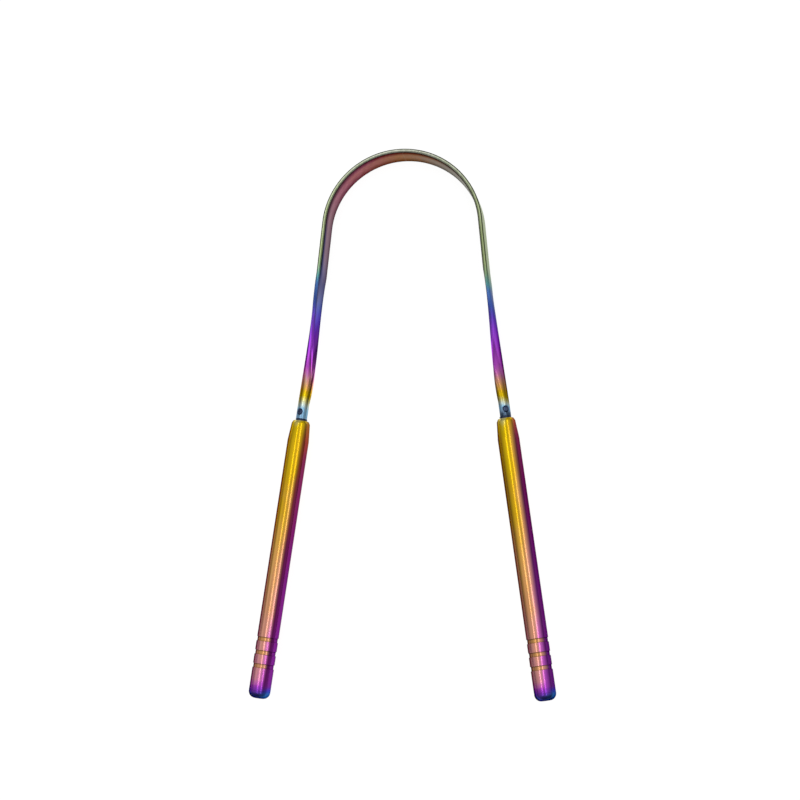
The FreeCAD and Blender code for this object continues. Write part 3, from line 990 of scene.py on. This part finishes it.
def close_material(tree, shader):
    """Link a shader to the material's surface."""
    add_node(tree, "ShaderNodeOutputMaterial", {"Surface": shader.outputs[0]})


def grain_noise(tree, vector, grain):
    """Noise drawn out along the grain."""
    across, along, detail = grain
    strokes = {0: vector, 1: (across, along, across)}
    stretched = add_node(tree, "ShaderNodeVectorMath", strokes, operation="MULTIPLY").outputs[0]
    settings = {"Vector": stretched, "Scale": 1.0, "Detail": detail}
    return add_node(tree, "ShaderNodeTexNoise", settings).outputs["Fac"]


def spread(tree, noise, low, high):
    """A noise's usual range of values drawn out between two others."""
    ends = {"From Min": NOISE_SHARES[0], "From Max": NOISE_SHARES[1], "To Min": low, "To Max": high}
    return add_node(tree, "ShaderNodeMapRange", {"Value": noise, **ends}).outputs[0]


def add_bump(tree, height, share):
    """Normals that stand the grain out of the surface."""
    settings = {"Height": height, "Strength": share, "Distance": BUMP_HEIGHT * MM}
    return add_node(tree, "ShaderNodeBump", settings).outputs[0]


def add_metal(tree, colour, rough, bump):
    """A metal's shader."""
    settings = {"Base Color": colour, "Metallic": 1.0, "Roughness": rough, "Normal": bump}
    return add_node(tree, "ShaderNodeBsdfPrincipled", settings)


def film_colour(tree, deep_colours, cloud, broad):
    """The film's colour, which wanders a little with the grain, mixed towards darker colours that are partly
    painted shade.
    """
    film, deep_film, deep = (
        add_node(tree, "ShaderNodeAttribute", attribute_name=share).outputs["Fac"]
        for share in ("film", "deep_film", "deep")
    )
    cloud_wander = spread(tree, cloud, -CLOUD_WANDER_SHARE / 2, CLOUD_WANDER_SHARE / 2)
    broad_wander = spread(tree, broad, -BROAD_WANDER_SHARE / 2, BROAD_WANDER_SHARE / 2)
    wander = add_math(tree, "ADD", cloud_wander, broad_wander)
    bright = add_film(tree, add_math(tree, "ADD", film, wander), FILM_COLOURS)
    dark = add_film(tree, add_math(tree, "ADD", deep_film, wander), deep_colours)
    mixed = {"Factor": deep, MIX_FIRST_COLOUR: bright, MIX_SECOND_COLOUR: dark}
    return add_node(tree, "ShaderNodeMix", mixed, data_type="RGBA").outputs[MIX_RESULT_COLOUR]


def film_metal(name, deep_colours, roughness):
    """Brushed steel under a coloured film, whose thickness, painted shade and highlights, and grain the mesh
    carries.
    """
    material, tree = new_material(name)
    grain = add_node(tree, "ShaderNodeAttribute", attribute_name="grain").outputs["Vector"]
    shade = add_node(tree, "ShaderNodeAttribute", attribute_name="shade").outputs["Fac"]
    kinds = (FINE_GRAIN, BROAD_GRAIN, CLOUD_GRAIN)
    fine, broad, cloud = (grain_noise(tree, grain, kind) for kind in kinds)
    stroke = add_mean(tree, fine, broad)
    # The painted shade and highlights scale the film's brightness.
    value = add_math(tree, "MULTIPLY", spread(tree, stroke, *STROKE_VALUE_SHARES), shade)
    colour = film_colour(tree, deep_colours, cloud, broad)
    colour = add_node(tree, "ShaderNodeHueSaturation", {"Color": colour, "Value": value}).outputs[0]
    rough = spread(tree, stroke, *(roughness + share for share in STROKE_ROUGH_SHARES))
    shader = add_metal(tree, colour, rough, add_bump(tree, stroke, FILM_BUMP_SHARE))
    # The grazing tint drops with the painted shade, so that painted dark stays dark at grazing angles.
    floor = add_math(tree, "MULTIPLY", add_math(tree, "MINIMUM", shade, 1.0), GRAZING_FLOOR_SHARE)
    grazing = {0: colour, 1: [GRAZING_COLOUR_SHARE] * 3, 2: floor}
    tint = add_node(tree, "ShaderNodeVectorMath", grazing, operation="MULTIPLY_ADD").outputs[0]
    tree.links.new(tint, shader.inputs["Specular Tint"])
    close_material(tree, shader)
    return material


def plain_steel(name, colours, roughness):
    """Turned steel, its grey clouded and finely scored."""
    material, tree = new_material(name)
    place = add_node(tree, "ShaderNodeTexCoord").outputs["Object"]
    score = grain_noise(tree, place, SCORED_GRAIN)
    cloud = grain_noise(tree, place, MOTTLED_GRAIN)
    tone = add_mean(tree, score, cloud)
    colour = add_film(tree, tone, list(zip(NOISE_SHARES, colours)))
    rough = spread(tree, score, *(roughness + share for share in STROKE_ROUGH_SHARES))
    close_material(tree, add_metal(tree, colour, rough, add_bump(tree, score, STEEL_BUMP_SHARE)))
    return material


def wear(piece, material):
    """Give a piece this material alone."""
    piece.data.materials.clear()
    piece.data.materials.append(material)


def make_floor():
    """A wide pale floor that shows white and keeps a share of the object's shadow."""
    reach = FLOOR_HALF_SIZE
    corners = [(-reach, -reach), (reach, -reach), (reach, reach), (-reach, reach)]
    floor = new_piece("floor", [(x, y, -FLOOR_GAP) for x, y in corners], [(0, 1, 2, 3)])
    material, tree = new_material("pale_floor")
    white = [FLOOR_WHITE_SHARE] * 3 + [1]
    diffuse = add_node(tree, "ShaderNodeBsdfDiffuse", {"Color": white})
    glow = add_node(tree, "ShaderNodeEmission", {"Strength": FLOOR_GLOW})
    path = add_node(tree, "ShaderNodeLightPath").outputs
    seen = add_math(tree, "MAXIMUM", path["Is Camera Ray"], path["Is Glossy Ray"])
    seen = add_math(tree, "MAXIMUM", seen, path["Is Transmission Ray"])
    share = add_math(tree, "MULTIPLY", seen, FLOOR_GLOW_SHARE)
    mixed = add_node(tree, "ShaderNodeMixShader", {0: share, 1: diffuse.outputs[0], 2: glow.outputs[0]})
    close_material(tree, mixed)
    wear(floor, material)


def make_sky():
    """A soft overhead sky, dim towards the horizon, which gives round metal its dark flanks."""
    world = bpy.data.worlds.new("studio")
    world.use_nodes = True
    scene.world = world
    tree = world.node_tree
    tree.nodes.clear()
    way = add_node(tree, "ShaderNodeTexCoord").outputs["Generated"]
    height = add_node(tree, "ShaderNodeSeparateXYZ", {0: way}).outputs["Z"]
    sky = add_ramp(tree, height, [(share, [level] * 3 + [1]) for share, level in SKY_SHARES])
    background = add_node(tree, "ShaderNodeBackground", {"Color": sky})
    add_node(tree, "ShaderNodeOutputWorld", {"Surface": background.outputs[0]})


def make_strip_lights():
    """Long soft lights overhead, along the handles, for their bright streaks."""
    for index, lean in enumerate(STRIP_LIGHT_LEANS):
        lamp = bpy.data.lights.new(f"strip_light_{index}", "AREA")
        lamp.shape = "RECTANGLE"
        lamp.size = STRIP_LIGHT_WIDTH * MM
        lamp.size_y = STRIP_LIGHT_LENGTH * MM
        lamp.energy = STRIP_LIGHT_POWER
        light = bpy.data.objects.new(lamp.name, lamp)
        turn = Matrix.Rotation(lean, 4, "Y")
        light.matrix_world = turn @ Matrix.Translation(UP * STRIP_LIGHT_HEIGHT * MM)
        scene.collection.objects.link(light)


def make_camera():
    """The camera where the photograph's stood, high over the handles and a little to their right."""
    data = bpy.data.cameras.new("camera")
    data.sensor_width = SENSOR_WIDTH
    data.lens = SENSOR_WIDTH * PIXELS_PER_MM * CAMERA_DISTANCE / PICTURE_PIXELS
    camera = bpy.data.objects.new("camera", data)
    turn = Matrix.Rotation(CAMERA_SWING, 3, "Y") @ Matrix.Rotation(CAMERA_TILT, 3, "X")
    turn = turn @ Matrix.Rotation(CAMERA_ROLL, 3, "Z")
    place = turn @ Vector((*CAMERA_OFFSET, CAMERA_DISTANCE)) + UP * MID_Z
    camera.matrix_world = Matrix.Translation(place * MM) @ turn.to_4x4()
    scene.collection.objects.link(camera)
    scene.camera = camera


def dress_strip(name, side, metal):
    """Half of the strip, from the crown to the neck's end, with the pin's hole cut through its neck."""
    piece = strip_half(name, side)
    cut_pin_hole(piece, pin_place(name, side))
    paint_strip(piece, name, side)
    wear(piece, metal)
    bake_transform(piece)
    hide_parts("scraper_band")


def dress_handle(name, metal):
    """A handle's tube and its end plug."""
    pieces = ((handle_tube, "handle_tube", "film_handle"), (end_plug, "end_plug", "film_end"))
    for make, node, slot in pieces:
        piece = make(name)
        paint_handle(piece, name)
        settle(piece)
        wear(piece, metal)
        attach(piece, f"{name}_handle")
        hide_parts(f"{name}_{node}")


def dress_pin(name, side, metal):
    """A neck's cross pin."""
    piece = cross_pin(name, side)
    settle(piece)
    wear(piece, metal)
    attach(piece, f"{name}_neck")
    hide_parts(f"{name}_cross_pin")


def dress_solids(name, stud_metal, bush_metal):
    """The stud and the bush, which keep their solids' own meshes."""
    solids = (("neck_stud", stud_metal, "film_neck"), ("socket_bush", bush_metal, "bare_steel"))
    for node, metal, slot in solids:
        solid = frame["nodes"][f"{name}_{node}"]
        wear(solid, metal)


def main():
    """Set the studio up and dress both sides."""
    scene.view_settings.view_transform = "Standard"
    make_floor()
    make_sky()
    make_strip_lights()
    make_camera()
    strip_metal = film_metal("strip_film", INNER_FILM_AND_SHADE_COLOURS, STRIP_ROUGH_SHARE)
    handle_metal = film_metal("handle_film", FLANK_FILM_AND_SHADE_COLOURS, HANDLE_ROUGH_SHARE)
    pin_metal = plain_steel("pin_steel", PIN_COLOURS, PIN_ROUGH_SHARE)
    stud_metal = plain_steel("stud_steel", STUD_COLOURS, STUD_ROUGH_SHARE)
    bush_metal = plain_steel("bush_steel", BUSH_COLOURS, BUSH_ROUGH_SHARE)
    for name, side in SIDES.items():
        dress_strip(name, side, strip_metal)
        dress_handle(name, handle_metal)
        dress_pin(name, side, pin_metal)
        dress_solids(name, stud_metal, bush_metal)


main()
